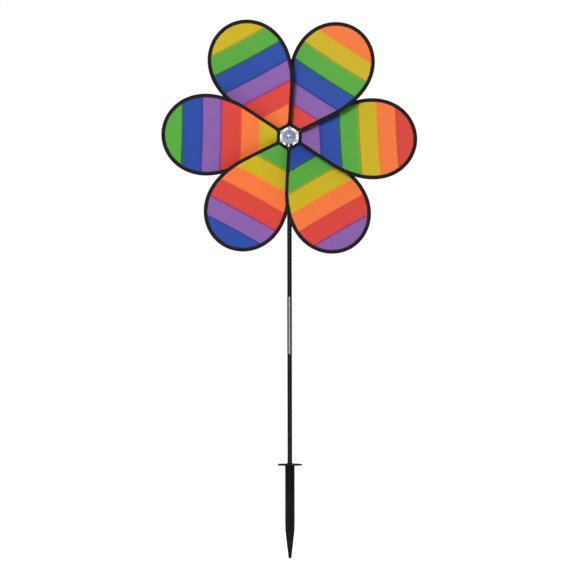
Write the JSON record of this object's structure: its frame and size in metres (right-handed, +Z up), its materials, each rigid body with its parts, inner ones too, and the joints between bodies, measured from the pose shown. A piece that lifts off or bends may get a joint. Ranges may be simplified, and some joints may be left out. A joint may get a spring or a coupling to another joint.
{
  "type": "wind spinner",
  "caption": "Garden wind spinner: a flower-shaped wheel of striped cloth petals on sprung rods, turning on an axle at the top of a jointed pole with a ground stake.",
  "frame": {"origin": "on the pole's axis at ground level, the underside of the stake's flange", "axes": "+Z up along the pole, -Y the way the wheel faces, +X to the right seen from the front"},
  "size_m": [0.4802, 0.0724, 1.0128],
  "materials": {
    "stake_plastic": "moulded, slightly glossy on the fins",
    "pole_black": "smooth black fibreglass tube",
    "ferrule_aluminium": "drawn tube, satin",
    "holder_plastic": "moulded black plastic",
    "steel": "zinc plated",
    "washer_nylon": "natural nylon",
    "hub_plastic": "silver-grey moulded plastic",
    "cap_plastic": "blue-grey moulded plastic",
    "brass": "plain turned bush",
    "rod_fibreglass": "pultruded fibreglass",
    "binding_tape": "woven black binding tape",
    "cloth_purple": "ripstop nylon",
    "cloth_blue": "ripstop nylon",
    "cloth_green": "ripstop nylon",
    "cloth_yellow": "ripstop nylon",
    "cloth_orange": "ripstop nylon",
    "cloth_red": "ripstop nylon"
  },
  "bodies": {
    "stake": {"ground_stake": "stake_plastic"},
    "lower_pole": {"pole_lower": "pole_black"},
    "ferrule": {"pole_ferrule": "ferrule_aluminium"},
    "head": {"pole_upper": "pole_black", "axle_holder": "holder_plastic", "axle_pin": "steel", "thrust_washers": "washer_nylon", "push_nut": "steel"},
    "wheel": {"hub_body": "hub_plastic", "hub_bush": "brass", "hub_cap": "cap_plastic", "petal_1_binding": "binding_tape", "petal_1_blue_strip": "cloth_blue", "petal_1_green_strip": "cloth_green", "petal_1_orange_strip": "cloth_orange", "petal_1_purple_strip": "cloth_purple", "petal_1_red_strip": "cloth_red", "petal_1_rod": "rod_fibreglass", "petal_1_yellow_strip": "cloth_yellow", "petal_2_binding": "binding_tape", "petal_2_blue_strip": "cloth_blue", "petal_2_green_strip": "cloth_green", "petal_2_orange_strip": "cloth_orange", "petal_2_purple_strip": "cloth_purple", "petal_2_red_strip": "cloth_red", "petal_2_rod": "rod_fibreglass", "petal_2_yellow_strip": "cloth_yellow", "petal_3_binding": "binding_tape", "petal_3_blue_strip": "cloth_blue", "petal_3_green_strip": "cloth_green", "petal_3_orange_strip": "cloth_orange", "petal_3_purple_strip": "cloth_purple", "petal_3_red_strip": "cloth_red", "petal_3_rod": "rod_fibreglass", "petal_3_yellow_strip": "cloth_yellow", "petal_4_binding": "binding_tape", "petal_4_blue_strip": "cloth_blue", "petal_4_green_strip": "cloth_green", "petal_4_orange_strip": "cloth_orange", "petal_4_purple_strip": "cloth_purple", "petal_4_red_strip": "cloth_red", "petal_4_rod": "rod_fibreglass", "petal_4_yellow_strip": "cloth_yellow", "petal_5_binding": "binding_tape", "petal_5_blue_strip": "cloth_blue", "petal_5_green_strip": "cloth_green", "petal_5_orange_strip": "cloth_orange", "petal_5_purple_strip": "cloth_purple", "petal_5_red_strip": "cloth_red", "petal_5_rod": "rod_fibreglass", "petal_5_yellow_strip": "cloth_yellow", "petal_6_binding": "binding_tape", "petal_6_blue_strip": "cloth_blue", "petal_6_green_strip": "cloth_green", "petal_6_orange_strip": "cloth_orange", "petal_6_purple_strip": "cloth_purple", "petal_6_red_strip": "cloth_red", "petal_6_rod": "rod_fibreglass", "petal_6_yellow_strip": "cloth_yellow"}
  },
  "joints": [
    {"name": "lower_pole_pull_out", "type": "slide", "parent": "stake", "child": "lower_pole", "axis": [0, 0, 1], "range_m": [0, 0.06]},
    {"name": "head_turn", "type": "hinge", "parent": "lower_pole", "child": "ferrule", "pos_m": [0, 0, 0.24], "axis": [0, 0, 1], "continuous": true},
    {"name": "upper_pole_pull_out", "type": "slide", "parent": "ferrule", "child": "head", "axis": [0, 0, 1], "range_m": [0, 0.06]},
    {"name": "wheel_spin", "type": "hinge", "parent": "head", "child": "wheel", "pos_m": [0, -0.032, 0.618], "axis": [0, -1, 0], "continuous": true}
  ]
}
